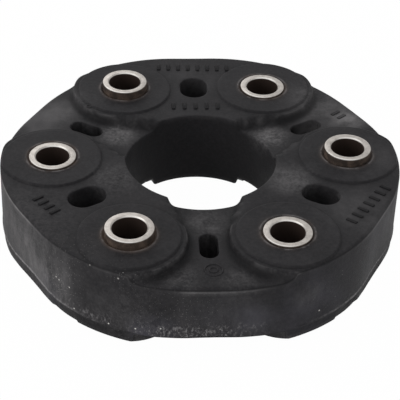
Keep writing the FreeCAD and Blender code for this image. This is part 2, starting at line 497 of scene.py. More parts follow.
def dustOnWalls(tree, level, veils, spots):  # streaks, the dusty line and splashes
    streak = times(tree, veils["streak"], spots["streak"])
    lineLevel = moulding["partingLevel"] + rubber["lineAbove"]
    fromLine = maths(tree, "ABSOLUTE", plus(tree, level, -lineLevel))
    line = times(tree, ramp(tree, fromLine, 0.7, 0.1), spots["line"])
    line = times(tree, line, timesPlus(tree, veils["fine"], 0.8, 0.2))
    splash = times(tree, veils["splash"], timesPlus(tree, veils["broken"], 0.9, 0.25))
    splash = times(tree, splash, ramp(tree, level, *rubber["splashLevels"]))
    return plus(tree, plus(tree, streak, line), times(tree, splash, spots["splash"]))


# dust and painted highlights along the rim and bore edges, on the lips and on the beads
def dustOnEdges(tree, veils, spots):
    edge = times(tree, attribute(tree, "edgeDust"), timesPlus(tree, veils["mottle"], 0.5, 0.5))
    edge = times(tree, edge, plus(tree, spots["edge"], rubber["edgeFilm"]))
    ring = times(tree, attribute(tree, "ringDust"), veils["broken"])
    return timesPlus(tree, ring, rubber["ringFilm"], edge)


def paleGrains(tree, place, spots):
    grains = 0.0
    for scale, size, shown, strength in rubber["specks"]:
        grains = timesPlus(tree, effect(tree, speckGroup, place, scale, size, shown), strength, grains)
    grains = times(tree, grains, spots["grain"])
    for centre, radius in rubber["grains"]:
        grains = maths(tree, "MAXIMUM", grains, effect(tree, spotGroup, place, centre, radius))
    return atMostOne(tree, grains)


def makeRubber():
    material, tree, surface, place = newMaterial("rubber")
    level = partsOf(tree, place)[2]
    veils = {name: veil(tree, place, settings) for name, settings in rubber["veils"].items()}
    spots = {name: sumOfSpots(tree, place, listed) for name, listed in rubberSpots.items()}
    onWall, hollow = attribute(tree, "wall"), attribute(tree, "hollow")
    partingLevel = moulding["partingLevel"]
    # painted shade on the walls under the parting line
    underLine = times(tree, ramp(tree, level, partingLevel, partingLevel - 0.4), onWall)

    tone = timesPlus(tree, veils["cloud"], 0.5, times(tree, veils["mottle"], 0.5))
    # painted shade: a darker tone in the hollows, then a mix towards the shade colour there and under the
    # parting line
    colour = blend(tree, times(tree, tone, lessBy(tree, hollow, 0.9)), rubber["dark"], rubber["light"])
    shade = times(tree, maths(tree, "MAXIMUM", hollow, underLine), rubber["shadeShare"])
    colour = blend(tree, shade, colour, rubber["shade"])
    haze = ramp(tree, noise(tree, place, 0.12, 2.0), 0.2, 0.8, 0.4, 1.6)
    # bluish bloom on the walls, partly painted cool light
    bloom = times(tree, spots["bloom"], times(tree, haze, onWall))
    colour = blend(tree, bloom, colour, rubber["bloom"])

    dust = dustOnFaces(tree, times(tree, haze, lessBy(tree, onWall, 1.0)), veils, spots)
    wallDust = dustOnWalls(tree, level, veils, spots)
    wallDust = times(tree, wallDust, lessBy(tree, underLine, rubber["underLoss"]))
    dust = timesPlus(tree, wallDust, onWall, dust)
    dust = plus(tree, dust, dustOnEdges(tree, veils, spots))
    # the painted shade also takes dust away
    dust = atMostOne(tree, times(tree, dust, lessBy(tree, hollow, rubber["hollowLoss"])))
    colour = blend(tree, dust, colour, rubber["dust"])
    rust = plus(tree, spots["rust"], timesPlus(tree, veils["rust"], 0.4, 0.1))
    rust = atMostOne(tree, times(tree, attribute(tree, "rust"), rust))
    colour = blend(tree, rust, colour, rubber["rusty"])
    colour = blend(tree, paleGrains(tree, place, spots), colour, rubber["grain"])

    rough = timesPlus(tree, veils["mottle"], 0.1, rubber["roughness"])
    setInputs(tree, surface, {"Base Color": colour, "Roughness": timesPlus(tree, dust, 0.3, rough),
                              "Specular IOR Level": rubber["shine"]})
    addBump(tree, surface, effect(tree, grainGroup, place, 2.2, 0.35, 0.5), depth=0.25, strength=0.7)
    return material


# steel sleeves: satin ends with turning marks, painted highlight arcs on the bevels, brown oxide on the walls
steel = {
    "satin": (0.345, 0.32, 0.297, 1),
    "pale": (0.50, 0.47, 0.44, 1),
    "oxide": (0.020, 0.014, 0.011, 1),
    "oxideWorn": (0.072, 0.051, 0.039, 1),
    "bore": (0.020, 0.012, 0.009, 1),
    # painted highlight on the bevels
    "bright": (0.80, 0.78, 0.75, 1),
    "ringScale": 7.0,                        # turning marks
    "arcs": [                                # painted highlight arcs on the bevels: edge, start, full, direction
        ("outerRadius", -0.7, -0.35, (-0.45, -0.89, 0)),
        ("boreRadius", 0.7, 0.4, (0.35, 0.94, 0)),
    ],
}


# painted highlights on the bevels, on fixed sides of each sleeve
def wornArcs(tree, offset, radius):
    arcs = 0.0
    for edge, start, full, direction in steel["arcs"]:
        band = ramp(tree, radius, sleeve[edge] + start, sleeve[edge] + full)
        along = maths(tree, "DIVIDE", vectorMaths(tree, "DOT_PRODUCT", offset, direction), radius)
        arcs = timesPlus(tree, band, ramp(tree, along, 0.55, 1.0), arcs)
    return arcs


def makeSteel():
    material, tree, surface, place = newMaterial("sleeve_steel")
    offset = attribute(tree, "fromAxis", "Vector")
    radius = vectorMaths(tree, "LENGTH", vectorMaths(tree, "MULTIPLY", offset, (1, 1, 0)))
    rings = addNode(tree, "ShaderNodeTexNoise", {"W": times(tree, radius, steel["ringScale"]), "Scale": 1.0},
                    noise_dimensions="1D").outputs[0]
    cloud = effect(tree, veilGroup, place, 0.5, 0.32, 0.68)
    cloud = times(tree, timesPlus(tree, rings, 1.2, 0.2), cloud)
    colour = blend(tree, atMostOne(tree, cloud), steel["satin"], steel["pale"])
    # painted highlights on the bevels, broken by the turning marks
    arcs = times(tree, wornArcs(tree, offset, radius), timesPlus(tree, rings, 0.8, 0.3))
    colour = blend(tree, atMostOne(tree, arcs), colour, steel["bright"])
    wall = ramp(tree, radius, sleeve["outerRadius"] - 0.24, sleeve["outerRadius"] - 0.02)
    bore = ramp(tree, radius, sleeve["boreRadius"] + 0.2, sleeve["boreRadius"] + 0.03)
    rust = effect(tree, veilGroup, place, 0.2, 0.36, 0.66)
    colour = blend(tree, wall, colour, blend(tree, rust, steel["oxide"], steel["oxideWorn"]))
    colour = blend(tree, bore, colour, steel["bore"])
    dull = maths(tree, "MAXIMUM", wall, bore)
    setInputs(tree, surface, {"Base Color": colour, "Metallic": timesPlus(tree, dull, -0.8, 0.8),
                              "Roughness": timesPlus(tree, dull, 0.3, 0.45), "Specular IOR Level": 0.2})
    grain = effect(tree, grainGroup, place, 5.0, 0.8, 0.3)
    addBump(tree, surface, timesPlus(tree, rings, 0.6, grain), depth=0.04, strength=0.5)
    return material


# the pieces inside the rubber
inside = {
    "collar": (0.05, 0.048, 0.045, 1),
    "collarWorn": (0.085, 0.08, 0.075, 1),
    "cord": (0.46, 0.40, 0.30, 1),
    "cordShade": (0.24, 0.20, 0.14, 1),
}


def makeCollarPlastic():
    material, tree, surface, place = newMaterial("collar_plastic")
    worn = effect(tree, veilGroup, place, 0.5, 0.4, 0.7)
    setInputs(tree, surface, {"Base Color": blend(tree, worn, inside["collar"], inside["collarWorn"]),
                              "Roughness": 0.55})
    addBump(tree, surface, effect(tree, grainGroup, place, 4.0, 0.5, 0.3), depth=0.05, strength=0.5)
    return material


def makeCord():                              # turns of twisted cord lying on each other
    material, tree, surface, place = newMaterial("cord")
    turns = addNode(tree, "ShaderNodeTexWave", {"Vector": place, "Scale": 0.31, "Distortion": 0.6},
                    bands_direction="Z").outputs["Fac"]
    twist = addNode(tree, "ShaderNodeTexWave", {"Vector": place, "Scale": 0.9, "Distortion": 1.2},
                    bands_direction="DIAGONAL").outputs["Fac"]
    height = timesPlus(tree, twist, 0.35, turns)
    setInputs(tree, surface, {"Base Color": blend(tree, height, inside["cordShade"], inside["cord"]),
                              "Roughness": 0.8})
    addBump(tree, surface, height, depth=0.3, strength=0.7)
    return material


# steel sleeves, turned from a profile
sleeve = {
    "outerRadius": (sleeveHigh.y - sleeveLow.y) / 2,
    "boreRadius": mounts["flange_bolts"]["dims"]["hole_r_mm"],
    "outerBevel": 0.45,
    "boreBevel": 0.55,
    "segments": 96,
    "sharpAbove": 0.5,                       # edges that bend more than this stay crisp, in radians
}


def latheTree():                             # spins a profile, drawn in X and Z, about an upright axis
    inputs = {"Geometry": "Geometry", "Segments": sleeve["segments"], "Axis": "Vector",
              "Sharp Above": sleeve["sharpAbove"], "Material": "Material"}
    tree, given, out = newGroup("turned piece", "GeometryNodeTree", inputs, {"Geometry": "Geometry"})
    profile = given["Geometry"]
    count = addNode(tree, "GeometryNodeAttributeDomainSize", {0: profile}).outputs["Point Count"]
    columns = plus(tree, given["Segments"], 1.0)
    sheet = addNode(tree, "GeometryNodeMeshGrid", {"Vertices X": columns, "Vertices Y": count})
    index = addNode(tree, "GeometryNodeInputIndex").outputs[0]
    column = maths(tree, "FLOOR", maths(tree, "DIVIDE", plus(tree, index, 0.5), count))
    row = maths(tree, "SUBTRACT", index, times(tree, column, count))
    position = addNode(tree, "GeometryNodeInputPosition").outputs[0]
    drawn = addNode(tree, "GeometryNodeSampleIndex", {"Geometry": profile, "Value": position, "Index": row},
                    data_type="FLOAT_VECTOR").outputs[0]
    radius, _, level = partsOf(tree, drawn)
    angle = times(tree, maths(tree, "DIVIDE", column, given["Segments"]), math.tau)
    across, along = (times(tree, radius, maths(tree, name, angle)) for name in ("COSINE", "SINE"))
    spun = addNode(tree, "ShaderNodeCombineXYZ", {0: across, 1: along, 2: level})
    shaped = addNode(tree, "GeometryNodeSetPosition", {"Geometry": sheet, "Position": spun})
    offset = vectorMaths(tree, "SCALE", position, 1 / mm)
    marked = addNode(tree, "GeometryNodeStoreNamedAttribute",
                     {"Geometry": shaped, "Name": "fromAxis", "Value": offset},
                     data_type="FLOAT_VECTOR", domain="POINT")
    placed = addNode(tree, "GeometryNodeTransform", {"Geometry": marked, "Translation": given["Axis"]})
    closed = addNode(tree, "GeometryNodeMergeByDistance", {"Geometry": placed, "Distance": 0.001 * mm})
    bend = addNode(tree, "GeometryNodeInputMeshEdgeAngle").outputs[0]
    crisp = maths(tree, "GREATER_THAN", bend, given["Sharp Above"])
    sharp = addNode(tree, "GeometryNodeSetShadeSmooth",
                    {"Geometry": closed, "Selection": crisp, "Shade Smooth": False}, domain="EDGE")
    return endTree(tree, sharp, given["Material"], out)


def sleeveProfile(low, high):                # closed outline in X and Z, outer corners first
    outer, bore = sleeve["outerRadius"], sleeve["boreRadius"]
    outerBevel, boreBevel = sleeve["outerBevel"], sleeve["boreBevel"]
    middle = (low + high) / 2
    upper = [(outer, middle), (outer, high - outerBevel),
             (outer - outerBevel * 0.3, high - outerBevel * 0.3), (outer - outerBevel, high),
             (bore + boreBevel, high), (bore, high - boreBevel)]
    lower = [(radius, low + high - level) for radius, level in upper[:0:-1]]
    points = upper + [(bore, middle)] + lower
    return points + points[:1]


def makeSleeves(material):
    tree = latheTree()
    for number in range(1, 7):
        node = f"bolt_sleeve_{number}"
        low, high = (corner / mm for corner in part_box(node))
        outline = [(radius * mm, 0, level * mm) for radius, level in sleeveProfile(low.z, high.z)]
        mesh = bpy.data.meshes.new(node)
        mesh.from_pydata(outline, [], [])
        axis = Vector(((low.x + high.x) / 2 * mm, (low.y + high.y) / 2 * mm, 0))
        piece = nodesPiece(f"turned_sleeve_{number}", mesh, tree,
                           {"Segments": sleeve["segments"], "Axis": axis,
                            "Sharp Above": sleeve["sharpAbove"], "Material": material})
        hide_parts(node)
        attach(piece, "root")


# rubber moulding: one sixth, drawn about the sleeve on +X, then mirrored and turned
disc = {
    "boltRadius": mounts["flange_bolts"]["dims"]["pcd_mm"] / 2,
    "boreRadius": mounts["centre_bore"]["dims"]["r_mm"],
    "tallLevel": mounts["centre_bore"]["dims"]["length_mm"] / 2,
    "cornerReach": rubberTop.x,
    "flatReach": rubberTop.y,
    "padLevel": rubberTop.z,
    "recessDepth": 3.4,
    "lipRadius": 19.9,
    "lipLeavesAt": 136.3,                    # degrees round the sleeve, from the outside of the disc
    "padRadius": 18.4,
    "padSlope": 0.6,
    "slotRounding": 0.45,
    "halfStep": 30.0,
    "tallSlot": {"length": 14.3, "width": 10.7, "centre": 48.7, "side": 30.0},
    "lowSlot": {"length": 13.4, "width": 6.6, "centre": 49.2, "side": -30.0},
    "beadRadius": 1.0,                       # raised rubber bead round each sleeve, from the sleeve's wall
    "beadHeight": 0.35,
    "beadWidth": 0.4,
    "gapDepth": 0.15,
    "cornerSwell": 0.35,                     # how far the moulded corners bulge past the drawn outline
    "swellSpread": 18.0,                     # degrees over which the bulge fades towards the flats
    "swellDepth": 10.0,                      # how far inwards the bulge and the shoulders reach
    "cornerShoulder": (0.35, 1.1),           # how far the upper rim stands out, and the radius of its edge
    "tallShoulder": (0.7, 1.6),
    "lowShoulder": (1.1, 1.4),
}
upperFace = {
    "sign": 1,
    "boreRounding": 0.35,
    "lipShift": 0.35,
    "lipRounding": 0.8,
    "footRounding": 2.4,
    "cornerDrop": 0.0,
}
lowerFace = {
    "sign": -1,
    "rimRounding": 0.25,
    "boreRounding": 0.2,
    "lipShift": 0.9,                         # the lower lips are steeper, so they start further out
    "lipRounding": 0.4,
    "footRounding": 1.0,
    "cornerDrop": 0.5,                       # how much deeper the lower face lies at the corners' rim
}
arcOffset = (disc["cornerReach"] - disc["flatReach"]) / (1 - math.cos(math.radians(disc["halfStep"])))
arcRadius = disc["cornerReach"] - arcOffset
lowLevel = disc["tallLevel"] - disc["recessDepth"]
arcCentre = Vector((arcOffset, 0))
sleeveAxis = Vector((disc["boltRadius"], 0))
leavePoint = sleeveAxis + polar(disc["lipRadius"], -disc["lipLeavesAt"])
leaveNormal = polar(1, -disc["lipLeavesAt"])
slots = (disc["tallSlot"], disc["lowSlot"])


def degreesOf(vector):
    return math.degrees(math.atan2(vector.y, vector.x))


def isAtCorner(point):                       # on the round stretch of the rim, not on a flat
    return abs(degreesOf(point - arcCentre)) < disc["halfStep"]


def outward(point):
    if isAtCorner(point):
        return (point - arcCentre).normalized()
    return polar(1, math.copysign(disc["halfStep"], point.y))


def insideRim(point):
    if isAtCorner(point):
        return arcRadius - (point - arcCentre).length
    return disc["flatReach"] - point.dot(outward(point))


def insideBore(point):                       # the same from the centre bore's wall
    return point.length - disc["boreRadius"]


def pastLip(point):                          # how far into the recess, from the line where its wall starts
    away = point - sleeveAxis
    if -disc["lipLeavesAt"] <= degreesOf(away) <= 0:
        return away.length - disc["lipRadius"]
    return (point - leavePoint).dot(leaveNormal)


def pastSleeve(point):
    return (point - sleeveAxis).length - sleeve["outerRadius"]


def pastPad(point):
    return (point - sleeveAxis).length - disc["padRadius"]


def fromSlot(point, slot):
    along = polar(1, slot["side"])
    away = point - along * slot["centre"]
    run = away.dot(along)
    over = max(abs(run) - (slot["length"] - slot["width"]) / 2, 0)
    return math.hypot(over, (away - along * run).length) - slot["width"] / 2


def rounding(inwards, radius):               # how far a rounded edge drops, a distance in from it
    short = min(max(radius - inwards, 0), radius)
    return radius - math.sqrt(radius * radius - short * short)


def smoothStep(value):
    share = min(max(value, 0), 1)
    return share * share * (3 - 2 * share)


def hump(distance, width):
    return math.exp(-(distance / width) ** 2)


def cornerShare(point):
    return smoothStep((disc["halfStep"] - abs(degreesOf(point))) / disc["swellSpread"])


def rimShare(point):                         # one at the rim, fading inwards
    return smoothStep(1 - insideRim(point) / disc["swellDepth"])


def shoulder(point):                         # the upper rim's standing out and rounding at a point
    flat = disc["tallShoulder" if point.y > 0 else "lowShoulder"]
    share = cornerShare(point)
    return [low + (high - low) * share for low, high in zip(flat, disc["cornerShoulder"])]


def skinHeight(point, face):
    past = pastLip(point) - face["lipShift"]
    if past <= 0:
        level = disc["tallLevel"] - rounding(-past, face["lipRounding"])
        level += face["cornerDrop"] * cornerShare(point) ** 2 * rimShare(point)
    else:
        level = lowLevel + rounding(past, face["footRounding"])
    rise = disc["padLevel"] - disc["tallLevel"]
    level += rise * smoothStep(-pastPad(point) / disc["padSlope"])
    level -= rounding(insideRim(point), shoulder(point)[1] if face is upperFace else face["rimRounding"])
    level -= rounding(insideBore(point), face["boreRounding"])
    for slot in slots:
        level -= rounding(fromSlot(point, slot), disc["slotRounding"])
    gap = pastSleeve(point)
    level += disc["beadHeight"] * hump(gap - disc["beadRadius"], disc["beadWidth"])
    level -= disc["gapDepth"] * hump(gap, disc["beadWidth"])
    return level * face["sign"]


def swollen(point, face):                    # where a drawn point lies once the rim bulges
    swell = disc["cornerSwell"] * cornerShare(point)
    if face is upperFace:
        swell += shoulder(point)[0]
    return point + outward(point) * swell * rimShare(point)


dustLightAndShadeBands = {                                     # bands of dust, painted highlight and painted shade: share, middle, width
    "lip": (0.4, -0.25, 0.3),                # dust and painted highlight on the lip, from where the recess starts
    "bead": (1.0, disc["beadRadius"], 0.3),  # dust and painted highlight on the bead, from the sleeve
    "foot": (1.0, 0.9, 1.25),                # the rest are painted shade: from where the recess starts
    "pad": (0.5, 0.1, 0.3),
    "rim": (0.7, 0.14, 0.1),
    "sleeve": (0.4, 0.0, 0.3),
    "boreShare": 0.5,                        # painted shade on the centre bore's wall
    "footFade": 5.0,                         # over this much beside the rim the painted shade under a lip fades out
    "rimReach": 0.04,                        # the rest say how far each share reaches from its edge
    "wallReach": 0.65,
    "boreReach": 0.5,
    "nickReach": 0.45,
    "rustReach": 1.4,
}


def band(distance, name):
    share, middle, width = dustLightAndShadeBands[name]
    return share * hump(distance - middle, width)


def falling(distance, name):                 # one at an edge, falling away from it
    return math.exp(-max(distance, 0) / dustLightAndShadeBands[name])


def hollowDirt(point, past):                 # painted shade below the lips, round the pads, just inside the rim and close to each sleeve
    foot = band(past, "foot") * smoothStep(insideRim(point) / dustLightAndShadeBands["footFade"])
    rings = max(band(pastPad(point), "pad"), band(pastSleeve(point), "sleeve"))
    return max(foot, rings, band(insideRim(point), "rim"))


def skinShares(point, face):                 # what the finish and the walls' form read at a point of a skin
    past = pastLip(point) - face["lipShift"]
    return {
        "edgeDust": max(falling(insideRim(point), "rimReach"), falling(insideBore(point), "boreReach")),
        "ringDust": max(band(past, "lip"), band(pastSleeve(point), "bead")),
        "hollow": hollowDirt(point, past),
        "rust": hump(max(pastSleeve(point), 0), dustLightAndShadeBands["rustReach"]),
        "nearRim": falling(insideRim(point), "nickReach"),
        "corner": cornerShare(point),
        "wall": 0.0,
    }


def wallShares(point, corner, below, isRim):  # the same on a wall, this far below its upper edge
    return {
        "edgeDust": hump(below, dustLightAndShadeBands["wallReach"]) if isRim else 0.0,
        "ringDust": 0.0,
        "hollow": dustLightAndShadeBands["boreShare"] if insideBore(point) < grid["edgeWidth"] else 0.0,
        "rust": 0.0,
        "nearRim": float(isRim),
        "corner": corner,
        "wall": float(isRim),
    }


grid = {                                     # how finely one sixth of the moulding is drawn
    "spacing": 2.0,
    "rowShare": 0.87,                        # how much closer the rows lie than the points in a row
    "jitter": 0.2,
    "clearShare": 0.7,                       # share of the spacing that loose points keep from the curves
    "seed": 3,
    "curveStep": 1.1,
    "overrun": 20,                           # points in a row past each side of the sixth, cut off later
    "sideWidth": 0.001,                      # points this close to the sixth's straight sides lie on them
    "edgeWidth": 0.1,                        # an outline this close to the rim or the bore belongs to it
    "rim": (0, 0.05, 0.13, 0.25, 0.45, 0.75, 1.15, 1.65),    # how far from each edge its curves lie
    "bore": (0, 0.1, 0.35, 0.9),
    "sleeve": (0, 0.2, 0.45, 0.75, 1.1, 1.45, 1.9, 2.6),
    "pad": (0.4, 0, -0.15, -0.3, -0.45, -0.6, -1.0),
    "lip": (-1.2, -0.8, -0.5, -0.25, -0.06, 0.0, 0.15, 0.5, 0.7, 0.85, 0.95, 1.2, 1.55, 1.95, 2.4, 3.2),
    "slot": (0, 0.07, 0.2, 0.45, 1.0),
    "lipStart": -18,                         # degrees round the sleeve, where a lip's curves start
    "lipRun": 22,                            # how far they run straight on towards the bore
}


def arcPoints(centre, radius, start, end):
    steps = max(6, math.ceil(abs(math.radians(end - start)) * radius / grid["curveStep"]))
    return [centre + polar(radius, start + (end - start) * step / steps) for step in range(steps + 1)]


def linePoints(start, end):
    steps = max(1, math.ceil((end - start).length / grid["curveStep"]))
    return [start.lerp(end, step / steps) for step in range(steps + 1)]


def slotCurve(slot, out):                    # the half of a slot's outline that lies in this sixth
    side = slot["side"]
    facing = -math.copysign(90, side)
    reach = (slot["length"] - slot["width"]) / 2
    radius = slot["width"] / 2 + out
    far, near = polar(slot["centre"] + reach, side), polar(slot["centre"] - reach, side)
    return (arcPoints(far, radius, side, side + facing)
            + linePoints(far + polar(radius, side + facing), near + polar(radius, side + facing))[1:]
            + arcPoints(near, radius, side + facing, side + 2 * facing)[1:])


def rimCurve(inset):
    half, reach = disc["halfStep"], disc["flatReach"] - inset
    bend = arcPoints(arcCentre, arcRadius - inset, -half, half)
    return linePoints(polar(reach, -half), bend[0]) + bend[1:] + linePoints(bend[-1], polar(reach, half))[1:]


def lipCurve(past):
    bend = arcPoints(sleeveAxis, disc["lipRadius"] + past, grid["lipStart"], -disc["lipLeavesAt"])
    return bend + linePoints(bend[-1], bend[-1] + polar(grid["lipRun"], 90 - disc["lipLeavesAt"]))[1:]


def skinCurves():
    half = disc["halfStep"]
    curves = [rimCurve(inset) for inset in grid["rim"]]
    curves += [arcPoints(Vector((0, 0)), disc["boreRadius"] + out, -half, half) for out in grid["bore"]]
    curves += [arcPoints(sleeveAxis, sleeve["outerRadius"] + out, 0, 360) for out in grid["sleeve"]]
    curves += [arcPoints(sleeveAxis, disc["padRadius"] + out, 0, 360) for out in grid["pad"]]
    curves += [lipCurve(past) for past in grid["lip"]]
    curves += [slotCurve(slot, out) for slot in slots for out in grid["slot"]]
    sides = [(polar(disc["boreRadius"], side), polar(disc["flatReach"], side)) for side in (-half, half)]
    return curves + [linePoints(inner, outer) for inner, outer in sides]


def insideSector(point):                     # positive inside the sixth, away from its two straight sides
    return min(point.dot(polar(1, disc["halfStep"] - 90)), point.dot(polar(1, 90 - disc["halfStep"])))


def liesOnSide(points):
    return max(insideSector(point) for point in points) < grid["sideWidth"]


def inSkin(point):
    return (insideSector(point) > 0 and insideRim(point) > 0 and insideBore(point) > 0
            and pastSleeve(point) > 0 and all(fromSlot(point, slot) > 0 for slot in slots))


def loosePoints(drawn):                      # a slightly uneven grid of points that keep clear of the curves
    cell = grid["spacing"]
    taken = {}
    for point in drawn:
        taken.setdefault((round(point.x / cell), round(point.y / cell)), []).append(point)

    def isFree(point):
        column, row = round(point.x / cell), round(point.y / cell)
        cells = [(column + i, row + j) for i in (-1, 0, 1) for j in (-1, 0, 1)]
        near = [other for place in cells for other in taken.get(place, [])]
        return all((other - point).length > cell * grid["clearShare"] for other in near)

    draw = random.Random(grid["seed"])
    jitter = grid["jitter"]
    points = []
    for row in range(int(disc["cornerReach"] / cell) + 1):
        for column in range(-row - grid["overrun"], row + grid["overrun"]):
            point = Vector((row * cell * grid["rowShare"], (column + row % 2 / 2) * cell))
            point += Vector((draw.uniform(-jitter, jitter), draw.uniform(-jitter, jitter)))
            if isFree(point) and inSkin(point):
                points.append(point)
    return points


def drawSkin():                              # flat triangles of one sixth, with lines along edges and creases
    points, edges = [], []
    for curve in skinCurves():
        start = len(points)
        points += curve
        edges += [(index, index + 1) for index in range(start, len(points) - 1)]
    flat, _, faces, *_ = delaunay_2d_cdt(points + loosePoints(points), edges, [], 0, 1e-5)
    kept = []
    for face in faces:
        corners = [flat[index] for index in face]
        if inSkin(sum(corners, Vector((0, 0))) / 3) and not liesOnSide(corners):
            kept.append(tuple(face))
    return flat, kept


moulding = {
    "partingLevel": -10.3,                   # where the two halves of the mould meet
    "ridgeHeight": 0.18,
    "ridgeWidth": 0.25,
    "bandInset": 0.3,
    "wallDraft": 0.022,                      # how far the corners lean out for each millimetre down
    "waveHeight": 0.1,
    "waveScale": 90.0,                       # waves to a metre
    "nickDepth": 0.55,                       # how far the lower rim steps in beside the front corners
    "nickReach": 7.4,
    "nicks": [(-50.2, -53.1, -18.0), (49.6, -53.8, -18.0)],
    "rowsAbove": (0.985, 0.965, 0.9, 0.75, 0.55, 0.35, 0.2, 0.1, 0.04, 0.012),   # shares of the height
    "rowsAtLine": (0.1, 0, -0.06),           # millimetres from the parting line
    "rowsBelow": (0.1, 0.25, 0.6),
    "plainRows": (0.93, 0.8, 0.6, 0.4, 0.2, 0.07),   # on the walls of the bore, the slots and the sleeves
}


def wallHeights(top, bottom, isRim):         # rows of points between the two skins, from the top down
    if not isRim:
        return [bottom + (top - bottom) * share for share in moulding["plainRows"]]
    line = moulding["partingLevel"]
    return ([line + (top - line) * share for share in moulding["rowsAbove"]]
            + [line + above for above in moulding["rowsAtLine"]]
            + [line + (bottom - line) * share for share in moulding["rowsBelow"]])


def makeSixth():                             # both skins of one sixth, with the walls between them
    flat, faces = drawSkin()
    used = sorted({index for face in faces for index in face})
    number = {index: count for count, index in enumerate(used)}
    points = [flat[index] for index in used]
    count = len(points)
    skins = [(point, face) for face in (upperFace, lowerFace) for point in points]
    moved = [swollen(point, face) for point, face in skins]
    places = [(*place, skinHeight(*skin)) for place, skin in zip(moved, skins)]
    shares = [skinShares(point, face) for point, face in skins]
    upper = [tuple(number[index] for index in face) for face in faces]
    made = upper + [tuple(index + count for index in reversed(face)) for face in upper]
    columns = {}

    def columnOf(index, isRim):              # the wall's points under one of the upper skin's
        if (index, isRim) in columns:
            return columns[index, isRim]
        top, bottom = places[index][2], places[index + count][2]
        column = [index]
        for height in wallHeights(top, bottom, isRim):
            share = (height - moulding["partingLevel"]) / (top - moulding["partingLevel"])
            place = moved[index + count].lerp(moved[index], max(share, 0))
            column.append(len(places))
            places.append((*place, height))
            shares.append(wallShares(place, shares[index]["corner"], top - height, isRim))
        if isRim:
            shares[index]["wall"] = shares[index + count]["wall"] = 1.0
        columns[index, isRim] = column + [index + count]
        return columns[index, isRim]

    sides = {(face[i], face[(i + 1) % 3]) for face in upper for i in range(3)}
    for start, end in sorted(sides):
        if (end, start) in sides or liesOnSide((points[start], points[end])):
            continue
        isRim = insideRim((points[start] + points[end]) / 2) < grid["edgeWidth"]
        first, second = columnOf(start, isRim), columnOf(end, isRim)
        for step in range(len(first) - 1):
            made.append((second[step], first[step], first[step + 1], second[step + 1]))
    mesh = bpy.data.meshes.new("one_sixth")
    mesh.from_pydata([Vector(place) * mm for place in places], [], made)
    for name in shares[0]:
        values = [share[name] for share in shares]
        mesh.attributes.new(name, "FLOAT", "POINT").data.foreach_set("value", values)
    print("one sixth of the moulding:", len(places), "points,", len(made), "faces")
    return mesh


def storedShare(tree, name):
    return addNode(tree, "GeometryNodeInputNamedAttribute", {"Name": name}, data_type="FLOAT").outputs[0]


def turnAbout(tree, angle):                  # a rotation about the upright axis
    upright = addNode(tree, "ShaderNodeCombineXYZ", {2: angle})
    return addNode(tree, "FunctionNodeEulerToRotation", {0: upright})


def wallPush(tree, given, position):         # the walls' lean, the ridge, the band set in below it, the waves
    level = partsOf(tree, position)[2]
    above = maths(tree, "SUBTRACT", given["Top Level"], maths(tree, "MAXIMUM", level, given["Parting Level"]))
    lean = times(tree, times(tree, above, given["Wall Draft"]), storedShare(tree, "corner"))
    below = maths(tree, "SUBTRACT", given["Parting Level"], level)
    away = maths(tree, "DIVIDE", maths(tree, "ABSOLUTE", below), given["Ridge Width"])
    ridge = times(tree, ramp(tree, away, 1.0, 0.0), given["Ridge Height"])
    inset = times(tree, ramp(tree, below, 0.0, 0.2 * mm), given["Band Inset"])
    push = plus(tree, lean, maths(tree, "SUBTRACT", ridge, inset))
    push = times(tree, push, storedShare(tree, "wall"))
    wave = maths(tree, "SUBTRACT", noise(tree, position, given["Wave Scale"], 2.0), 0.5)
    return plus(tree, push, times(tree, wave, given["Wave Height"]))


def nickMoves(tree, given, position, move):  # steps the lower rim in at each nick
    depth = times(tree, storedShare(tree, "nearRim"), given["Nick Depth"])
    inwards = vectorMaths(tree, "NORMALIZE", vectorMaths(tree, "MULTIPLY", position, (-1, -1, 0)))
    for nick in moulding["nicks"]:
        away = vectorMaths(tree, "DISTANCE", position, Vector(nick) * mm)
        share = ramp(tree, maths(tree, "DIVIDE", away, given["Nick Reach"]), 1.0, 0.88)
        cut = vectorMaths(tree, "SCALE", inwards, times(tree, share, depth))
        move = vectorMaths(tree, "ADD", move, cut)
    return move


mouldingSizes = {                            # the tree's own inputs, their lengths in metres
    "Repeats": 3,
    "Top Level": disc["tallLevel"] * mm,
    "Parting Level": moulding["partingLevel"] * mm,
    "Ridge Height": moulding["ridgeHeight"] * mm,
    "Ridge Width": moulding["ridgeWidth"] * mm,
    "Band Inset": moulding["bandInset"] * mm,
    "Wall Draft": moulding["wallDraft"],
    "Wave Height": moulding["waveHeight"] * mm,
    "Wave Scale": moulding["waveScale"],
    "Nick Depth": moulding["nickDepth"] * mm,
    "Nick Reach": moulding["nickReach"] * mm,
}


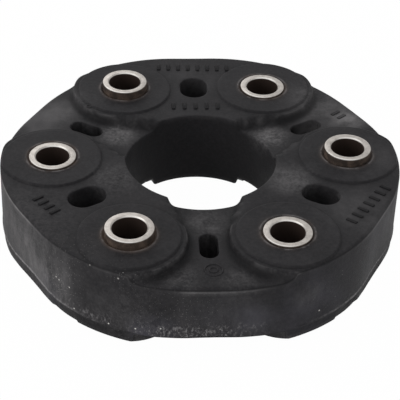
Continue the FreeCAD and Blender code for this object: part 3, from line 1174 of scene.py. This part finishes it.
def mouldingTree():                          # two mirrored sixths, repeated about the axis
    inputs = {"Geometry": "Geometry", **mouldingSizes, "Material": "Material"}
    tree, given, out = newGroup("rubber moulding", "GeometryNodeTree", inputs, {"Geometry": "Geometry"})
    sixth = given["Geometry"]
    twist = (0, 0, math.radians(2 * disc["halfStep"]))
    turned = addNode(tree, "GeometryNodeTransform", {"Geometry": sixth, "Rotation": twist})
    other = addNode(tree, "GeometryNodeTransform", {"Geometry": sixth, "Scale": (1, -1, 1)})
    other = addNode(tree, "GeometryNodeFlipFaces", {"Mesh": other})
    third = addNode(tree, "GeometryNodeJoinGeometry")
    for source in (turned, other):
        tree.links.new(source.outputs[0], third.inputs[0])
    points = addNode(tree, "GeometryNodePoints", {"Count": given["Repeats"]})
    index = addNode(tree, "GeometryNodeInputIndex").outputs[0]
    angle = times(tree, index, maths(tree, "DIVIDE", math.tau, given["Repeats"]))
    spread = addNode(tree, "GeometryNodeInstanceOnPoints",
                     {"Points": points, "Instance": third, "Rotation": turnAbout(tree, angle)})
    whole = addNode(tree, "GeometryNodeRealizeInstances", {0: spread})
    closed = addNode(tree, "GeometryNodeMergeByDistance", {"Geometry": whole, "Distance": 0.004 * mm})
    position = addNode(tree, "GeometryNodeInputPosition").outputs[0]
    normal = addNode(tree, "GeometryNodeInputNormal").outputs[0]
    push = vectorMaths(tree, "SCALE", normal, wallPush(tree, given, position))
    move = nickMoves(tree, given, position, push)
    uneven = addNode(tree, "GeometryNodeSetPosition", {"Geometry": closed, "Offset": move})
    return endTree(tree, uneven, given["Material"], out)


def makeRubberDisc(material):
    values = {**mouldingSizes, "Material": material}
    piece = nodesPiece("rubber_moulding", makeSixth(), mouldingTree(), values)
    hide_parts("rubber_disc")
    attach(piece, "root")
    print("rubber moulding:", len(piece.data.polygons), "faces")


# plain raised bars and rings where a moulding carries its marks, the bars darkened with painted shade
marks = {
    "width": 1.5,
    "length": 4.4,
    "corner": 0.35,
    "layers": [                              # a bar's level, inset and share of painted shade, from its foot upwards
        (-0.5, 0.0, 1.0),
        (0.0, 0.0, 1.0),
        (0.27, 0.06, 1.0),
        (0.3825, 0.13, 0.8),
        (0.45, 0.3, 0.85),
    ],
    "rows": [                                # middle of the first bar, middle of the last, level, count
        ((-13.4, 64.3), (14.3, 63.2), disc["tallLevel"], 8),
        ((-8.6, 34.9), (8.7, 34.7), disc["tallLevel"], 5),
        ((55.6, 34.3), (57.7, 31.8), lowLevel, 2),
        ((51.0, -40.6), (66.2, -21.0), disc["tallLevel"], 7),
        ((-59.6, -25.0), (-53.4, -33.0), disc["tallLevel"], 4),
    ],
    "rings": [                               # middle, level, radius
        ((0.8, -62.6), lowLevel, 3.1),
        ((0.8, -62.6), lowLevel, 1.4),
        ((-41.7, 35.3), disc["tallLevel"], 0.9),
    ],
    "ringWire": 0.32,
}


def makeBar():                               # one bar with rounded corners, standing at the origin
    wide, long, corner = marks["width"] / 2, marks["length"] / 2, marks["corner"]
    places, paintedShade, faces = [], [], []
    for level, inset, share in marks["layers"]:
        for side in range(4):
            middle = Vector(((wide - corner) * (1, -1, -1, 1)[side], (long - corner) * (1, 1, -1, -1)[side]))
            for step in range(4):
                point = middle + polar(max(corner - inset, 0.05), side * 90 + step * 30)
                places.append((point.x, point.y, level))
                paintedShade.append(share)
    count = len(places) // len(marks["layers"])
    for start in range(0, len(places) - count, count):
        for step in range(count):
            first, second = start + step, start + (step + 1) % count
            faces.append((first, second, second + count, first + count))
    faces.append(tuple(reversed(range(count))))
    faces.append(tuple(range(len(places) - count, len(places))))
    mesh = bpy.data.meshes.new("one_bar")
    mesh.from_pydata([Vector(place) * mm for place in places], [], faces)
    mesh.attributes.new("hollow", "FLOAT", "POINT").data.foreach_set("value", paintedShade)
    return mesh


def makeRowGroup():                          # bars side by side along a line, each square to it
    inputs = {"Bar": "Geometry", "Start": "Vector", "End": "Vector", "Count": 2}
    tree, given, out = newGroup("row of bars", "GeometryNodeTree", inputs, {"Geometry": "Geometry"})
    line = addNode(tree, "GeometryNodeMeshLine",
                   {"Count": given["Count"], "Start Location": given["Start"], "Offset": given["End"]},
                   mode="END_POINTS")
    run = partsOf(tree, vectorMaths(tree, "SUBTRACT", given["End"], given["Start"]))
    turn = turnAbout(tree, maths(tree, "ARCTAN2", run[1], run[0]))
    spread = addNode(tree, "GeometryNodeInstanceOnPoints",
                     {"Points": line, "Instance": given["Bar"], "Rotation": turn})
    tree.links.new(spread.outputs[0], out["Geometry"])
    return tree


def marksTree():
    inputs = {"Bar": "Geometry", "Ring Wire": marks["ringWire"] * mm, "Material": "Material"}
    tree, given, out = newGroup("raised marks", "GeometryNodeTree", inputs, {"Geometry": "Geometry"})
    rowGroup = makeRowGroup()
    joined = addNode(tree, "GeometryNodeJoinGeometry")
    for start, end, level, count in marks["rows"]:
        first, last = Vector((*start, level)) * mm, Vector((*end, level)) * mm
        row = addNode(tree, "GeometryNodeGroup",
                      {"Bar": given["Bar"], "Start": first, "End": last, "Count": count}, node_tree=rowGroup)
        tree.links.new(row.outputs[0], joined.inputs[0])
    wire = addNode(tree, "GeometryNodeCurvePrimitiveCircle", {"Resolution": 10, "Radius": given["Ring Wire"]})
    for middle, level, radius in marks["rings"]:
        circle = addNode(tree, "GeometryNodeCurvePrimitiveCircle", {"Resolution": 40, "Radius": radius * mm})
        ring = addNode(tree, "GeometryNodeCurveToMesh", {"Curve": circle, "Profile Curve": wire})
        ring = addNode(tree, "GeometryNodeTransform",
                       {"Geometry": ring, "Translation": Vector((*middle, level)) * mm})
        tree.links.new(ring.outputs[0], joined.inputs[0])
    return endTree(tree, joined, given["Material"], out)


def makeMarks(material):
    piece = nodesPiece("raised_marks", makeBar(), marksTree(),
                       {"Ring Wire": marks["ringWire"] * mm, "Material": material})
    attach(piece, "root")
    print("raised marks:", len(piece.data.polygons), "faces")


rubberMaterial = makeRubber()
makeRubberDisc(rubberMaterial)
makeMarks(rubberMaterial)
makeSleeves(makeSteel())
print("rubber and sleeves ready")

for kind, material in (("collar", makeCollarPlastic()), ("cord", makeCord())):
    for name, node in frame["nodes"].items():
        if kind in name:
            node.data.materials.clear()
            node.data.materials.append(material)
print("inner pieces coated")
